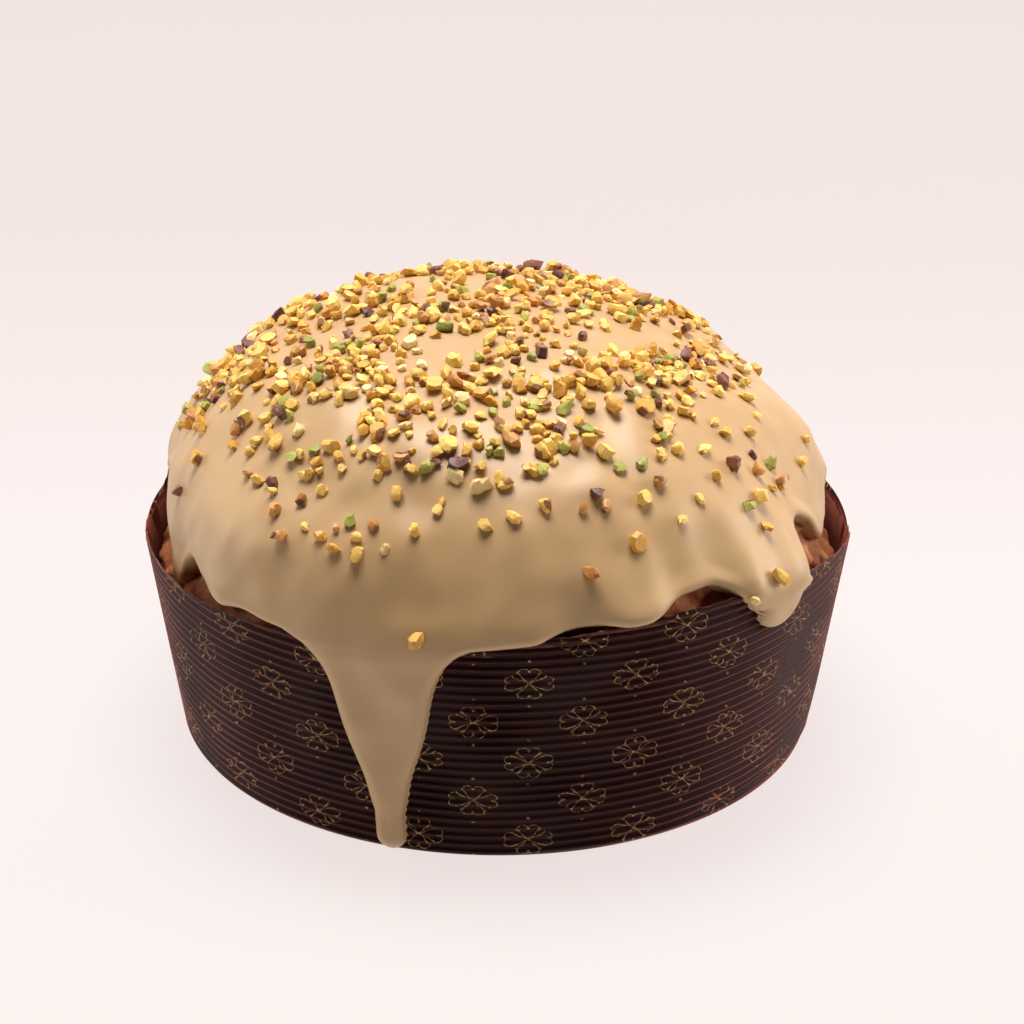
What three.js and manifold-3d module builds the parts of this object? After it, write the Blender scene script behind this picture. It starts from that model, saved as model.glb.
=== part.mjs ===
// Low round panettone in a fluted paper baking case, with a poured glaze and chopped pistachios.
// Units are millimetres, +Z is up, and the origin is the centre of the case's underside.
// An azimuth is in degrees round +Z, from the front (-Y) towards +X. The crown's elevation is in
// degrees too, from 0 at the widest ring of the dome to 90 at its top.

import * as THREE from "three";
import { ParametricGeometry } from "three/addons/geometries/ParametricGeometry.js";
import { mergeVertices } from "three/addons/utils/BufferGeometryUtils.js";
import Module from "manifold-3d";

const wasm = await Module();
wasm.setup();

// Paper case: a flat round floor and a wall that leans out, pressed into level flutes
const BASE_RADIUS = 91;
const WALL_LEAN = 0.156;
const PAPER = 1.1;
const FLUTE_PITCH = 2.7;
const FLUTE_DEPTH = 0.5;
const FLUTES = 28;
const BASE_BEVEL = 1.5;

// Rim: its mean height, and its rises and dips as [azimuth, half width, rise]
const RIM_HEIGHT = 65;
const RIM_WAVES = [
  [30, 33, 8],
  [82, 12, -5],
  [-62, 25, -4],
  [140, 26, 3],
  [178, 18, -3],
  [-140, 24, 4],
];

// Bread: it fills the case up to FILL_HEIGHT, then draws in to the dome
const GAP = 0.35;
const FILL_HEIGHT = 47;
const DOME_HEIGHT = 62;
const DOME_RADIUS = 92.6;
const CROWN_HEIGHT = 119.5;
const CROWN_POWER = 2.2;
const CROWN_DRIFT = -6;
const DOME_SWELL = 0.9;
const CRAG = 0.8;

// Glaze: a poured skin. It runs out over the rim in the POURS, each [azimuth, half width], and
// ends on the bread between them. Its edge rises and dips by [azimuth, half width, rise].
const GLAZE = 2.1;
const GLAZE_DRAPE = 14;
const POURS = [
  [-14, 39],
  [49, 9],
  [146, 20],
  [-138, 24],
];
const EDGE_OVER_RIM = -0.5;
const EDGE_IN_RIM = 3;
const EDGE_WAVES = [
  [61, 4, 8],
  [82, 14, 14],
  [112, 8, 9],
  [178, 12, 9],
  [-33, 3, 1.5],
  [-57, 5, 9],
  [-69, 5, -1.5],
  [-88, 10, 13],
  [-106, 6, 8],
];

// Drips down the wall: the tip's height and half width, and where the funnel above it begins
const DRIPS = [
  { azimuth: -17.4, tip: 1.4, halfWidth: 4.3, neck: 14, spread: 0.25, depth: 2.6 },
  { azimuth: 49.5, tip: 57, halfWidth: 8.4, neck: 62, spread: 0.5, depth: 2.3 },
  { azimuth: 142, tip: 24, halfWidth: 3.9, neck: 36, spread: 0.3, depth: 2.4 },
  { azimuth: 158, tip: 55, halfWidth: 6.5, neck: 60, spread: 0.5, depth: 2.2 },
  { azimuth: -126, tip: 42, halfWidth: 4.8, neck: 50, spread: 0.35, depth: 2.3 },
  { azimuth: -150, tip: 57, halfWidth: 8, neck: 62, spread: 0.5, depth: 2.2 },
];
const DRIP_FLARE = 7;
const DRIP_DIP = 3.5;

// Chopped nuts: the larger ones, evenly spread over the crown, then single ones lower down
const CROWN_NUTS = 96;
const CROWN_NUTS_REACH = 52;
const NUT_LENGTH = 6.4;
const NUT_SUNK = 0.2;
const STRAY_NUTS = [
  [-11, 69], [-2, 88], [3, 84], [21, 78], [15, 72], [39, 76], [46, 73],
  [-36, 86], [-30, 83], [-24, 82], [-13, 85], [-52, 92], [57, 92], [29, 88],
  [96, 90], [121, 95], [143, 84], [170, 92], [-158, 88], [-133, 96], [-108, 86],
];

// Facets: the case, the bread and the hollow of the glaze share their columns, so gaps stay even
const COLUMNS = 36;
const GLAZE_COLUMNS = 45;
const DOME_ROWS = 11;
const SHOULDER_ROWS = 4;
const DRAPE_ROWS = 4;
const DRIP_COLUMNS = 10;
const DRIP_ROWS = 8;
const BELOW = -5;

const RADIANS = Math.PI / 180;
const GOLDEN_ANGLE = 137.508;
const UP = new THREE.Vector3(0, 0, 1);

// Degrees from one azimuth to another, the short way round
function apart(azimuth, centre) {
  return ((azimuth - centre + 540) % 360) - 180;
}

// Sum of bell-shaped waves round the cake, each [azimuth, half width, rise]
function waves(list, azimuth) {
  const rise = ([centre, halfWidth, height]) => {
    return height * Math.exp(-((apart(azimuth, centre) / halfWidth) ** 2));
  };
  return list.reduce((sum, wave) => sum + rise(wave), 0);
}

function smooth(share) {
  const t = Math.min(Math.max(share, 0), 1);
  return t * t * (3 - 2 * t);
}

function wallRadius(height) {
  return BASE_RADIUS + WALL_LEAN * height;
}

function rimHeight(azimuth) {
  return RIM_HEIGHT + waves(RIM_WAVES, azimuth);
}

// 1 where the glaze runs out over the rim, 0 where it ends on the bread
function pour(azimuth) {
  const shares = POURS.map(([centre, half]) => (half - Math.abs(apart(azimuth, centre)) + 4) / 8);
  return smooth(Math.max(...shares));
}

function edgeHeight(azimuth) {
  const over = pour(azimuth);
  const level = over * EDGE_OVER_RIM + (1 - over) * EDGE_IN_RIM;
  const dips = DRIPS.map((run) => [run.azimuth, 1.2 * run.halfWidth, -DRIP_DIP]);
  return rimHeight(azimuth) + level + waves([...EDGE_WAVES, ...dips], azimuth);
}

// Gentle swellings of the dome, which die away at its top and inside the case
function swell(azimuth, height) {
  const a = azimuth * RADIANS;
  const share = (height - FILL_HEIGHT) / (CROWN_HEIGHT - FILL_HEIGHT);
  const band = Math.sin(Math.PI * Math.min(Math.max(share, 0), 1));
  return DOME_SWELL * band * (Math.sin(2 * a + 0.6) + Math.sin(5 * a + height / 14));
}

// The dome leans: its centre drifts sideways, slowly at first, from the fill line up
function drift(height) {
  return CROWN_DRIFT * (Math.max(height - FILL_HEIGHT, 0) / (CROWN_HEIGHT - FILL_HEIGHT)) ** 1.5;
}

// Point of the dome, thickened by skin: an ellipse whose sides are a little fuller
function domePoint(azimuth, elevation, skin) {
  const e = elevation * RADIANS;
  const height = DOME_HEIGHT + (CROWN_HEIGHT - DOME_HEIGHT + skin) * Math.sin(e);
  const round = Math.pow(Math.max(Math.cos(e), 0), 2 / CROWN_POWER);
  return [(DOME_RADIUS + skin + swell(azimuth, height)) * round, height];
}

// Elevation at which the dome, thickened by skin, reaches a height
function elevationAt(height, skin) {
  const up = (height - DOME_HEIGHT) / (CROWN_HEIGHT - DOME_HEIGHT + skin);
  return Math.asin(Math.min(Math.max(up, 0), 1)) / RADIANS;
}

// Radius of the dome at a height, thickened by skin
function domeRadius(azimuth, height, skin) {
  const up = Math.max(height - DOME_HEIGHT, 0) / (CROWN_HEIGHT - DOME_HEIGHT + skin);
  const round = Math.pow(Math.max(1 - up * up, 0), 1 / CROWN_POWER);
  return (DOME_RADIUS + skin + swell(azimuth, height)) * round;
}

// Torn crust between the dome and the case: short ridges that show under the glaze's edge
function crag(azimuth, height) {
  const a = azimuth * RADIANS;
  const band = smooth((height - FILL_HEIGHT) / 10) * smooth((DOME_HEIGHT + 24 - height) / 12);
  return -CRAG * band * (1 + Math.sin(13 * a + height / 3));
}

// Manifold solid of a closed three.js geometry, without its collapsed triangles
function solidOf(geometry) {
  geometry.deleteAttribute("normal");
  geometry.deleteAttribute("uv");
  const merged = mergeVertices(geometry, 1e-4);
  const corners = merged.index.array;
  const triVerts = [];
  for (let i = 0; i < corners.length; i += 3) {
    const [a, b, c] = [corners[i], corners[i + 1], corners[i + 2]];
    if (a !== b && b !== c && c !== a) triVerts.push(a, b, c);
  }
  return new wasm.Manifold(new wasm.Mesh({
    numProp: 3,
    vertProperties: Float32Array.from(merged.attributes.position.array),
    triVerts: Uint32Array.from(triVerts),
  }));
}

// Closed body round the axis: section(azimuth, row) gives each row's [radius, height, sideways
// shift], and the first and the last row lie on the axis. Rows run from the top down the outside,
// and columns from right to left, so that the faces look out.
function roundBody(columns, rows, section) {
  return solidOf(new ParametricGeometry((u, v, target) => {
    const azimuth = ((1 - u) % 1) * 360;
    const [radius, height, shift] = section(azimuth, Math.round(v * rows));
    const a = azimuth * RADIANS;
    target.set(shift + radius * Math.sin(a), -radius * Math.cos(a), height);
  }, columns, rows));
}

function meshOf(name, solid, material) {
  const { vertProperties, triVerts } = solid.getMesh();
  const geometry = new THREE.BufferGeometry();
  geometry.setAttribute("position", new THREE.BufferAttribute(vertProperties, 3));
  geometry.setIndex(new THREE.BufferAttribute(triVerts, 1));
  geometry.computeVertexNormals();
  const mesh = new THREE.Mesh(geometry, material);
  mesh.name = name;
  return mesh;
}

// Everything under the rim line: a drum whose top follows the rim's height
function rimTrim() {
  const inner = DOME_RADIUS - 10;
  const outer = wallRadius(RIM_HEIGHT) + 10;
  return roundBody(COLUMNS, 4, (azimuth, row) => {
    const rim = rimHeight(azimuth);
    const rows = [[0, RIM_HEIGHT], [inner, rim], [outer, rim], [outer, BELOW], [0, BELOW]];
    return [...rows[row], 0];
  });
}

// Fluted wall and floor as one lathe, taller than the rim, then trimmed along the rim's waves
function paperCase() {
  const profile = [new THREE.Vector2(0, 0), new THREE.Vector2(BASE_RADIUS - BASE_BEVEL, 0)];
  for (let flute = 0; flute < FLUTES; flute += 1) {
    const crest = BASE_BEVEL + flute * FLUTE_PITCH;
    const groove = crest + FLUTE_PITCH / 2;
    profile.push(new THREE.Vector2(wallRadius(crest), crest));
    profile.push(new THREE.Vector2(wallRadius(groove) - FLUTE_DEPTH, groove));
  }
  const top = BASE_BEVEL + FLUTES * FLUTE_PITCH;
  profile.push(new THREE.Vector2(wallRadius(top) - FLUTE_DEPTH, top));
  profile.push(new THREE.Vector2(wallRadius(top) - PAPER, top));
  profile.push(new THREE.Vector2(wallRadius(PAPER) - PAPER, PAPER));
  profile.push(new THREE.Vector2(0, PAPER));
  const lathe = new THREE.LatheGeometry(profile, COLUMNS);
  lathe.rotateX(Math.PI / 2);
  return solidOf(lathe).intersect(rimTrim());
}

// Elevation of a row of the dome, from its top down to just over the rim
function domeElevation(azimuth, row) {
  return 90 - (90 - elevationAt(rimHeight(azimuth) + GAP, 0)) * (row / DOME_ROWS);
}

// Solid bread: dome, craggy shoulder, and the straight part inside the case
function bread() {
  const floor = PAPER + GAP;
  const inCase = (height) => wallRadius(height) - PAPER - GAP;
  const lastRow = DOME_ROWS + SHOULDER_ROWS + 2;
  return roundBody(COLUMNS, lastRow, (azimuth, row) => {
    if (row === lastRow) return [0, floor, 0];
    if (row === lastRow - 1) return [inCase(floor), floor, 0];
    if (row <= DOME_ROWS) {
      const [radius, height] = domePoint(azimuth, domeElevation(azimuth, row), 0);
      return [row === 0 ? 0 : radius + crag(azimuth, height), height, drift(height)];
    }
    const ledge = domePoint(azimuth, domeElevation(azimuth, DOME_ROWS), 0)[1];
    const share = (row - DOME_ROWS) / SHOULDER_ROWS;
    const height = ledge + (FILL_HEIGHT - ledge) * share;
    const open = domeRadius(azimuth, height, 0) + crag(azimuth, height);
    return [open + (inCase(height) - open) * smooth(share), height, drift(height)];
  });
}

// What the glaze lies on, one gap larger: the dome, and the case filled level with its rim
function glazeBed() {
  const lastRow = DOME_ROWS + 3;
  return roundBody(COLUMNS, lastRow, (azimuth, row) => {
    const ledge = rimHeight(azimuth) + GAP;
    if (row === DOME_ROWS + 1) return [wallRadius(ledge) + GAP, ledge, 0];
    if (row === DOME_ROWS + 2) return [wallRadius(BELOW) + GAP, BELOW, 0];
    if (row === lastRow) return [0, BELOW, 0];
    const [radius, height] = domePoint(azimuth, domeElevation(azimuth, row), GAP);
    return [radius, row === DOME_ROWS ? ledge : height, drift(height)];
  });
}

// Outside of the glaze at a height: the dome, drawn out over the rim where the edge hangs below it
function glazeRing(azimuth, height) {
  const rim = rimHeight(azimuth);
  const dome = domeRadius(azimuth, height, GAP + GLAZE);
  const wall = wallRadius(height) + GAP + GLAZE;
  const drape = pour(azimuth) * smooth((rim + GLAZE_DRAPE - height) / (GLAZE_DRAPE - 1));
  return [dome + (wall - dome) * drape, height, drift(height) * (1 - drape)];
}

// Poured skin down to its wavy edge, with a rounded nose there, closed through the bed
function glazeSkin() {
  const lastRow = DOME_ROWS + DRAPE_ROWS + 3;
  const nose = 0.6 * GLAZE;
  return roundBody(GLAZE_COLUMNS, lastRow, (azimuth, row) => {
    const edge = edgeHeight(azimuth);
    const drapeTop = Math.max(rimHeight(azimuth) + GLAZE_DRAPE, edge + 8);
    if (row <= DOME_ROWS) {
      const low = elevationAt(drapeTop, GAP + GLAZE);
      const elevation = 90 - (90 - low) * (row / DOME_ROWS);
      const [radius, height] = domePoint(azimuth, elevation, GAP + GLAZE);
      return [row === 0 ? 0 : radius, height, drift(height)];
    }
    if (row <= DOME_ROWS + DRAPE_ROWS) {
      const share = (row - DOME_ROWS) / DRAPE_ROWS;
      return glazeRing(azimuth, drapeTop + (edge + nose - drapeTop) * share);
    }
    const [radius, height, shift] = glazeRing(azimuth, edge);
    if (row === lastRow - 2) return [radius - 0.4 * GLAZE, height + 0.15 * GLAZE, shift];
    if (row === lastRow - 1) return [radius - 1.4 * GLAZE, height, shift];
    return [0, FILL_HEIGHT, 0];
  });
}

// One long drip: a tongue down the wall, wide at the rim, narrow below its neck, with a round tip.
// Its back lies inside the bed, which is cut away afterwards.
function drip({ azimuth, tip, halfWidth, neck, spread, depth }) {
  const rim = rimHeight(azimuth);
  const top = rim + 1;
  return solidOf(new ParametricGeometry((u, v, target) => {
    const row = Math.round(v * DRIP_ROWS);
    const atEnd = row === 0 || row === DRIP_ROWS;
    const height = tip + (top - tip) * (row / DRIP_ROWS) ** 1.25;
    const round = Math.sqrt(1 - Math.max(1 - (height - tip) / halfWidth, 0) ** 2);
    const flare = DRIP_FLARE * Math.exp((height - rim) / 5);
    const wide = (halfWidth + spread * Math.max(height - neck, 0) + flare) * round;
    const turn = ((1 - u) % 1) * 2 * Math.PI;
    const across = atEnd ? 0 : wide * Math.cos(turn);
    const sine = Math.sin(turn);
    const out = sine > 0 ? (GAP + depth) * round * sine ** 0.7 : 3 * sine;
    const radius = wallRadius(height) + (atEnd ? 0 : out);
    const a = azimuth * RADIANS + across / radius;
    target.set(radius * Math.sin(a), -radius * Math.cos(a), height);
  }, DRIP_COLUMNS, DRIP_ROWS));
}

// Repeatable random numbers from 0 to 1
function seededRandom(seed) {
  let state = seed;
  return () => {
    state = (Math.imul(state, 1664525) + 1013904223) >>> 0;
    return state / 4294967296;
  };
}

// One chopped nut: a twenty-sided chip with uneven corners, lying on the glaze and sunk into it
function nut(random, azimuth, height) {
  const chip = new THREE.IcosahedronGeometry(1, 0);
  chip.deleteAttribute("normal");
  chip.deleteAttribute("uv");
  const corners = mergeVertices(chip, 1e-4);
  const places = corners.attributes.position;
  for (let i = 0; i < places.count; i += 1) {
    const reach = 0.8 + 0.35 * random();
    places.setXYZ(i, places.getX(i) * reach, places.getY(i) * reach, places.getZ(i) * reach);
  }
  const length = NUT_LENGTH * (0.8 + 0.35 * random());
  corners.scale(0.5 * length, 0.36 * length, 0.27 * length);
  corners.rotateZ(Math.PI * random());
  const a = azimuth * RADIANS;
  const [radius, , shift] = glazeRing(azimuth, height);
  const steep = (glazeRing(azimuth, height - 0.4)[0] - radius) / 0.4;
  const facing = new THREE.Vector3(Math.sin(a), -Math.cos(a), steep).normalize();
  corners.applyQuaternion(new THREE.Quaternion().setFromUnitVectors(UP, facing));
  const lift = (0.5 - NUT_SUNK) * 0.54 * length;
  const place = new THREE.Vector3(shift + radius * Math.sin(a), -radius * Math.cos(a), height);
  place.addScaledVector(facing, lift);
  corners.translate(place.x, place.y, place.z);
  return solidOf(corners);
}

// Nuts over the crown on an even spiral, then the single ones below them
function nuts() {
  const random = seededRandom(20);
  const chips = [];
  for (let i = 0; i < CROWN_NUTS; i += 1) {
    const reach = CROWN_NUTS_REACH * Math.sqrt((i + 0.5) / CROWN_NUTS);
    const azimuth = i * GOLDEN_ANGLE + 6 * random();
    const height = domePoint(azimuth, 90 - reach, GAP + GLAZE)[1];
    chips.push(nut(random, azimuth % 360, height));
  }
  for (const [azimuth, height] of STRAY_NUTS) chips.push(nut(random, azimuth, height));
  return chips;
}

function glaze() {
  const poured = [glazeSkin(), ...DRIPS.map(drip)].reduce((whole, piece) => whole.add(piece));
  const laid = poured.subtract(glazeBed());
  const studded = nuts().reduce((whole, chip) => whole.add(chip), laid);
  const bodies = studded.decompose();
  return bodies.reduce((largest, body) => (body.volume() > largest.volume() ? body : largest));
}

const paper = new THREE.MeshStandardMaterial({ color: 0x3b2422, roughness: 0.55 });
const crust = new THREE.MeshStandardMaterial({ color: 0xa8623a, roughness: 0.75 });
const icing = new THREE.MeshStandardMaterial({ color: 0xd2ad7e, roughness: 0.3 });

const panettone = new THREE.Group();
panettone.add(meshOf("paper_case", paperCase(), paper));
panettone.add(meshOf("bread", bread(), crust));
panettone.add(meshOf("glaze_with_nuts", glaze(), icing));

export default panettone;
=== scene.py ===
# Low round panettone in a fluted paper baking case: poured glaze with drips and chopped pistachios,
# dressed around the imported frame. Shapes are worked out in millimetres, and mesh_piece() writes
# them in metres. An azimuth is in degrees round +Z, from the front (-Y) towards +X.

import math

import bpy
import numpy as np
from mathutils import Matrix, Vector
from mathutils.bvhtree import BVHTree


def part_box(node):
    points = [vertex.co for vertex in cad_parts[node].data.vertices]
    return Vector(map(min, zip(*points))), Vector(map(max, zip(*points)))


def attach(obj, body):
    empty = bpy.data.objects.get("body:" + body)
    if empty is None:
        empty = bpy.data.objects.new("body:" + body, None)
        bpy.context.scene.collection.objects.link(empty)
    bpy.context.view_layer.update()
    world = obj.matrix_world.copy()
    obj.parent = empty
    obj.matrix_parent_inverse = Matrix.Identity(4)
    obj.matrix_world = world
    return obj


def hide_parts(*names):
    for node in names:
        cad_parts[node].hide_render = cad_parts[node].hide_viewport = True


MM = 0.001
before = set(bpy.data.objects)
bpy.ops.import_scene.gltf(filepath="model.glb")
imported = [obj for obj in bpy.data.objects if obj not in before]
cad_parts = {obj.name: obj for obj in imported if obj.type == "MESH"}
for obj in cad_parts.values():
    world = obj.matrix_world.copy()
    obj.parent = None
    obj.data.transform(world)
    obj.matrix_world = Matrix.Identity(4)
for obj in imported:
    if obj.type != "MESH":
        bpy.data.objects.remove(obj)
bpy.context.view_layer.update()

# Paper case: a wall that leans out, pressed into level flutes, and its wavy rim as
# (azimuth, half width, rise)
BASE_RADIUS = 91.0
WALL_LEAN = 0.156
PAPER = 1.1
FLUTE_PITCH = 2.7
FLUTE_DEPTH = 0.64
BASE_BEVEL = 1.5
RIM_HEIGHT = 65.0
RIM_WAVES = [
    (30, 33, 8), (98, 19, -9.8), (-62, 25, -4), (-96, 14, -7.5), (140, 26, 3), (178, 18, -3),
    (-140, 24, 4),
]
RIM_SHEET = 0.55
FLUTE_ROWS = 7
FIXED_WALL = 58.0
RIM_ROWS = 40
INNER_ROWS = 9
PAPER_COLUMNS = 400
FLOOR_RINGS = (60.0, 25.0)
SEAM_AZIMUTH = 180.0
SEAM_LAP = 7.0
SEAM_STEP = 0.5

# Crease where the lower right of the wall is folded under
CREASE_AZIMUTHS = (31, 44, 68, 80)
CREASE_HEIGHT = 4.6

# Bread: it fills the case up to FILL_HEIGHT, then draws in to the dome, which is fuller at the
# front by the FULL values
GAP = 0.35
FILL_HEIGHT = 47.0
DOME_HEIGHT = 62.0
DOME_RADIUS = 92.6
CROWN_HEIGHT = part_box("bread")[1].z / MM
CROWN_POWER = 2.2
CROWN_DRIFT = -6.0
DOME_SWELL = 0.9
FULL_AZIMUTH = 2.0
FULL_HALF = 82.0
FULL_EASE = 48.0
FULL_RADIUS = 6.4
FULL_POWER = 0.35
CRAG = 0.8
BREAD_COLUMNS = 420
BREAD_CROWN_ROWS = 14
BREAD_SHOWN_ROWS = 68

# Glaze: it runs out over the rim in the POURS, each (azimuth, half width), and ends on the bread
# between them. BRIDGE values shape its slope from the dome to the rim. Its edge rises and dips by
# EDGE_WAVES, each (azimuth, half width, rise).
GLAZE = 2.1
POURS = [(-19.5, 28.5), (21.5, 4.5), (47.5, 9), (148, 22), (-138, 24)]
BRIDGE_SLOPE = 0.78
BRIDGE_STEEPER = 0.044
BRIDGE_FULL = 0.32
BRIDGE_LIP = 1.8
BRIDGE_REACH = 34.0
BELOW_RIM = 20.0
POUR_WIDER = 6.0
EDGE_OVER_RIM = -0.5
EDGE_IN_RIM = 3.0
EDGE_WAVES = [
    (-41, 6.5, 4), (-33, 3, 1), (13, 4, -2.5), (27, 3, -0.7), (37, 4, 1.5), (62, 5, 7),
    (70, 7, 6), (88, 7, 10), (112, 8, 9), (178, 12, 9), (-57, 4.5, 5.5), (-88, 10, 13),
    (-106, 6, 8),
]
EDGE_NOSE = 2.4
DRIP_NOSE = 3.3
DRIP_DIP = 3.5
EDGE_FILLET = 3.0
DIVE_IN_BREAD = 2.6
DIVE_IN_PAPER = 1.3
BELOW_EDGE = 3.4

# Rows of the glaze's faces: over the crown, in the sheet down to BELOW_EDGE and in the drips.
# Its inner face has only some rows of the crown, and every row from the crown's last one down.
CROWN_ROWS = 45
SHEET_ROWS = 32
DRIP_ROWS = 90
INNER_CROWN_ROWS = [0, 3, 8, 16, 24, 32, 39]
INNER_FROM = CROWN_ROWS - 1
DRIP_COLUMNS = 27
BESIDE_DRIP = [0.4, 1.0, 2.0, 3.4]
COLUMN_STEP = 0.95

# Drips down the wall and the bread, each (azimuth, tip height, half width, neck height, spread
# above the neck, flare at the rim, thickness, half width that its columns of faces follow)
DRIPS = [
    (-17.4, 0.9, 3.9, 13, 0.25, 6, 2.6, 20),
    (48, 58.2, 8.5, 62, 0.45, 1.5, 2.4, 14),
    (74, 64.5, 9, 74, 0.1, 1, 3.6, 10),
    (142, 24, 3.9, 36, 0.3, 7, 2.6, 14),
    (161, 55, 6.5, 60, 0.5, 5, 2.4, 10),
    (-126, 42, 4.8, 50, 0.35, 7, 2.6, 16),
    (-150, 57, 8, 62, 0.5, 5, 2.4, 14),
    (-66.5, 54, 5.8, 60, 0.2, 1, 3.4, 7.5),
]

# Chopped nuts: faces of a chip, how they lie, and their kinds as (name, light and dark sRGB of
# the kernel, sRGB of the skin, share of all, share with skin on one side)
CHIP_RINGS = 5
CHIP_SIDES = 8
CHIP_CUTS = 6
CHIP_TILT = 0.35
SHORTEST_CHIP = 2.7
LONGER_BY = 4.3
CROWN_DROPS = 8000
DROP_REACH = 96.0
DROP_LOWEST = 80.0
CROWN_EDGE = 80.0
CROWN_LEFT = 10.0
CROWN_FADE = 14.0
STRAY_SHARE = 0.03
CLUSTER_SIZE = 30.0
NUT_SPACING = 2.9
NUT_KINDS = [
    ("golden", "F4D474", "CE9832", "96683A", 0.66, 0.3),
    ("pale", "FAE6AC", "E0BC6C", "A87848", 0.09, 0.25),
    ("leafy", "C2BE5C", "7C8434", "6C4A38", 0.12, 0.4),
    ("tan", "D8A45C", "A8702E", "70442C", 0.08, 0.35),
    ("brown", "96604C", "5A342C", "5C3430", 0.05, 0.9),
]

# Single nuts below the crown, as (column and row where it is seen in the photograph's frame,
# first letter of the kind, length)
SINGLE_NUTS = [
    (180, 491, "b", 4.6), (235, 448, "g", 4.8), (252, 452, "g", 4.0), (260, 441, "g", 4.4),
    (293, 459, "l", 4.6), (274, 485, "b", 6.0), (260, 480, "g", 4.6), (249, 475, "t", 3.8),
    (306, 476, "g", 4.0), (321, 472, "g", 3.8), (321, 491, "g", 4.8), (303, 503, "t", 5.2),
    (277, 512, "t", 4.8), (282, 536, "t", 5.6), (305, 527, "g", 4.2), (323, 537, "g", 4.6),
    (337, 529, "t", 4.0), (351, 521, "l", 4.8), (357, 538, "g", 4.6), (334, 549, "g", 4.8),
    (358, 555, "g", 5.4), (375, 527, "t", 4.8), (386, 549, "p", 5.4), (414, 533, "g", 5.4),
    (439, 512, "g", 4.0), (485, 527, "g", 5.0), (513, 519, "g", 6.6), (397, 495, "g", 5.2),
    (478, 487, "p", 6.8), (505, 487, "g", 4.4), (344, 470, "g", 4.6), (379, 477, "g", 4.4),
    (435, 465, "b", 4.6), (408, 466, "b", 4.8), (418, 642, "g", 6.0), (594, 494, "b", 5.4),
    (581, 510, "t", 4.6), (545, 508, "g", 4.6), (636, 542, "g", 6.6), (591, 573, "t", 5.2),
    (680, 521, "g", 4.2), (699, 499, "g", 4.0), (748, 507, "l", 4.8), (764, 528, "g", 4.6),
    (777, 579, "g", 6.0), (754, 600, "p", 4.2), (814, 586, "g", 4.6), (659, 484, "t", 4.4),
    (714, 477, "g", 5.0), (731, 466, "b", 6.8), (752, 456, "b", 4.0), (754, 472, "t", 4.8),
    (769, 464, "l", 5.2), (778, 484, "g", 4.4), (772, 490, "g", 3.8), (703, 450, "g", 4.8),
    (747, 433, "g", 4.4), (725, 433, "g", 4.2), (804, 440, "g", 4.0), (620, 470, "l", 5.2),
    (643, 464, "l", 5.4), (659, 456, "g", 5.0), (660, 441, "l", 5.0), (532, 471, "g", 5.0),
    (553, 462, "g", 5.2),
]

# Print on the paper: a staggered lattice of motifs, its half steps along the strip and up the
# wall, and where its first motif lies
PRINT_RADIUS = 96.6
PRINT_STRETCH = 1.26
PRINT_STEP = math.radians(8.637) * PRINT_RADIUS
PRINT_RISE = 12.76
PRINT_START = math.radians(-3.288) * PRINT_RADIUS
PRINT_TOP = 69.9
PRINT_SKEW = -0.305
PETAL_ACROSS = 7.1
PETAL_UP = 5.3

# Parts of a motif in shares of a petal's length, a along it and b across it. Discs are
# (name, centre along, centre across, radius): the petal's round end, its seed, the tip of its
# stamen and the dot between two motifs.
LOBE_AT = 0.68
DISCS = [
    ("lobe", LOBE_AT, 0.2, 0.22), ("seed", 0.72, 0.0, 0.06), ("tip", 0.62, 0.45, 0.045),
    ("dot", 1.36, 0.0, 0.065),
]
SIDE_POWER = 0.85
SIDE_WIDTH = 0.42
OUTLINE = 0.022
STAMEN_TURN = 0.62
STAMEN_END = 0.62
STAMEN_LINE = 0.015
HEART = 0.09

# Steps of the print, each (name, operation, inputs: numbers or names of steps above). Columns and
# rows are counted in half steps of the lattice, every other crossing has a motif, and each motif
# is folded four times onto one petal. A part is 1 where it is drawn and 0 elsewhere.
PRINT_STEPS = [
    ("from start", "SUBTRACT", "along", PRINT_START),
    ("column", "DIVIDE", "from start", PRINT_STEP),
    ("lowered", "MULTIPLY_ADD", "column", PRINT_SKEW, PRINT_TOP),
    ("from top", "SUBTRACT", "up", "lowered"),
    ("row", "DIVIDE", "from top", PRINT_RISE),
    ("column part", "WRAP", "column", 1.0, -1.0),
    ("off column", "ABSOLUTE", "column part"),
    ("row part", "WRAP", "row", 1.0, -1.0),
    ("off row", "ABSOLUTE", "row part"),
    ("off both", "ADD", "off column", "off row"),
    ("other", "GREATER_THAN", "off both", 1.0),
    ("column moved", "ADD", "column", "other"),
    ("x", "WRAP", "column moved", 1.0, -1.0),
    ("row moved", "ADD", "row", "other"),
    ("y", "WRAP", "row moved", 1.0, -1.0),
    ("x in petals", "MULTIPLY", "x", PRINT_STEP / PETAL_ACROSS),
    ("across", "ABSOLUTE", "x in petals"),
    ("y in petals", "MULTIPLY", "y", PRINT_RISE / PETAL_UP),
    ("high", "ABSOLUTE", "y in petals"),
    ("a", "MAXIMUM", "across", "high"),
    ("b", "MINIMUM", "across", "high"),
]
for disc, at_a, at_b, radius in DISCS:
    PRINT_STEPS += [
        (disc + " a", "SUBTRACT", "a", at_a),
        (disc + " b", "SUBTRACT", "b", at_b),
        (disc + " aa", "MULTIPLY", disc + " a", disc + " a"),
        (disc + " bb", "MULTIPLY", disc + " b", disc + " b"),
        (disc + " squares", "ADD", disc + " aa", disc + " bb"),
        (disc + " away", "SQRT", disc + " squares"),
        (disc + " off", "SUBTRACT", disc + " away", radius),
    ]
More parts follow.
